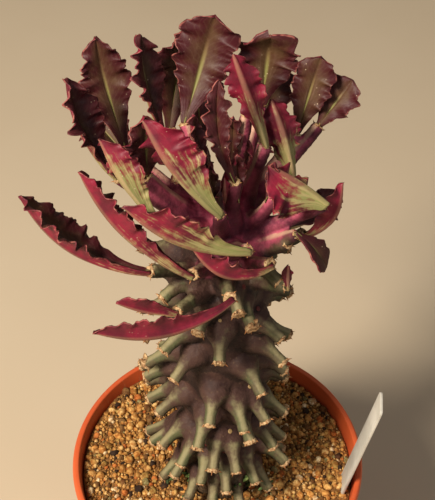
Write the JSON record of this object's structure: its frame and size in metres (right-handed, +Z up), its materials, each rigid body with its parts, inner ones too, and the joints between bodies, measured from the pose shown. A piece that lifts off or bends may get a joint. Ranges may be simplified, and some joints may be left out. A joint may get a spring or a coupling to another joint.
{
  "type": "potted succulent plant",
  "caption": "Potted Euphorbia schubei: upright stem covered in long tubercles with a tuft of crisped leaves, in a round plastic pot of grit with a blank plant label.",
  "frame": {"origin": "centre of the flat underside of the pot", "axes": "+Z up the stem; -Y is the side the plant is seen from and +X is to its right, where the label stands"},
  "size_m": [0.0939, 0.093, 0.2259],
  "materials": {
    "pot_plastic": "satin terracotta-coloured moulded plastic",
    "grit": "dry mixed grit, ochre, tan and brown grains",
    "stem_skin": "matt grey-green to purple-brown living skin, mauve at the crown",
    "leaf_skin": "soft-sheened living leaf, purple-brown above, crimson and green below",
    "label_plastic": "plain white plastic, blank"
  },
  "bodies": {
    "root": {"pot": "pot_plastic", "soil": "grit", "stem": "stem_skin", "label": "label_plastic", "leaf_01": "leaf_skin", "leaf_02": "leaf_skin", "leaf_03": "leaf_skin", "leaf_04": "leaf_skin", "leaf_05": "leaf_skin", "leaf_06": "leaf_skin", "leaf_07": "leaf_skin", "leaf_08": "leaf_skin", "leaf_09": "leaf_skin", "leaf_10": "leaf_skin", "leaf_11": "leaf_skin", "leaf_12": "leaf_skin", "leaf_13": "leaf_skin", "leaf_14": "leaf_skin", "leaf_15": "leaf_skin", "leaf_16": "leaf_skin", "leaf_17": "leaf_skin", "leaf_18": "leaf_skin", "leaf_19": "leaf_skin", "leaf_20": "leaf_skin", "leaf_21": "leaf_skin", "leaf_22": "leaf_skin", "leaf_23": "leaf_skin", "leaf_24": "leaf_skin", "leaf_25": "leaf_skin", "leaf_26": "leaf_skin", "leaf_27": "leaf_skin", "leaf_28": "leaf_skin", "leaf_29": "leaf_skin"}
  },
  "joints": []
}
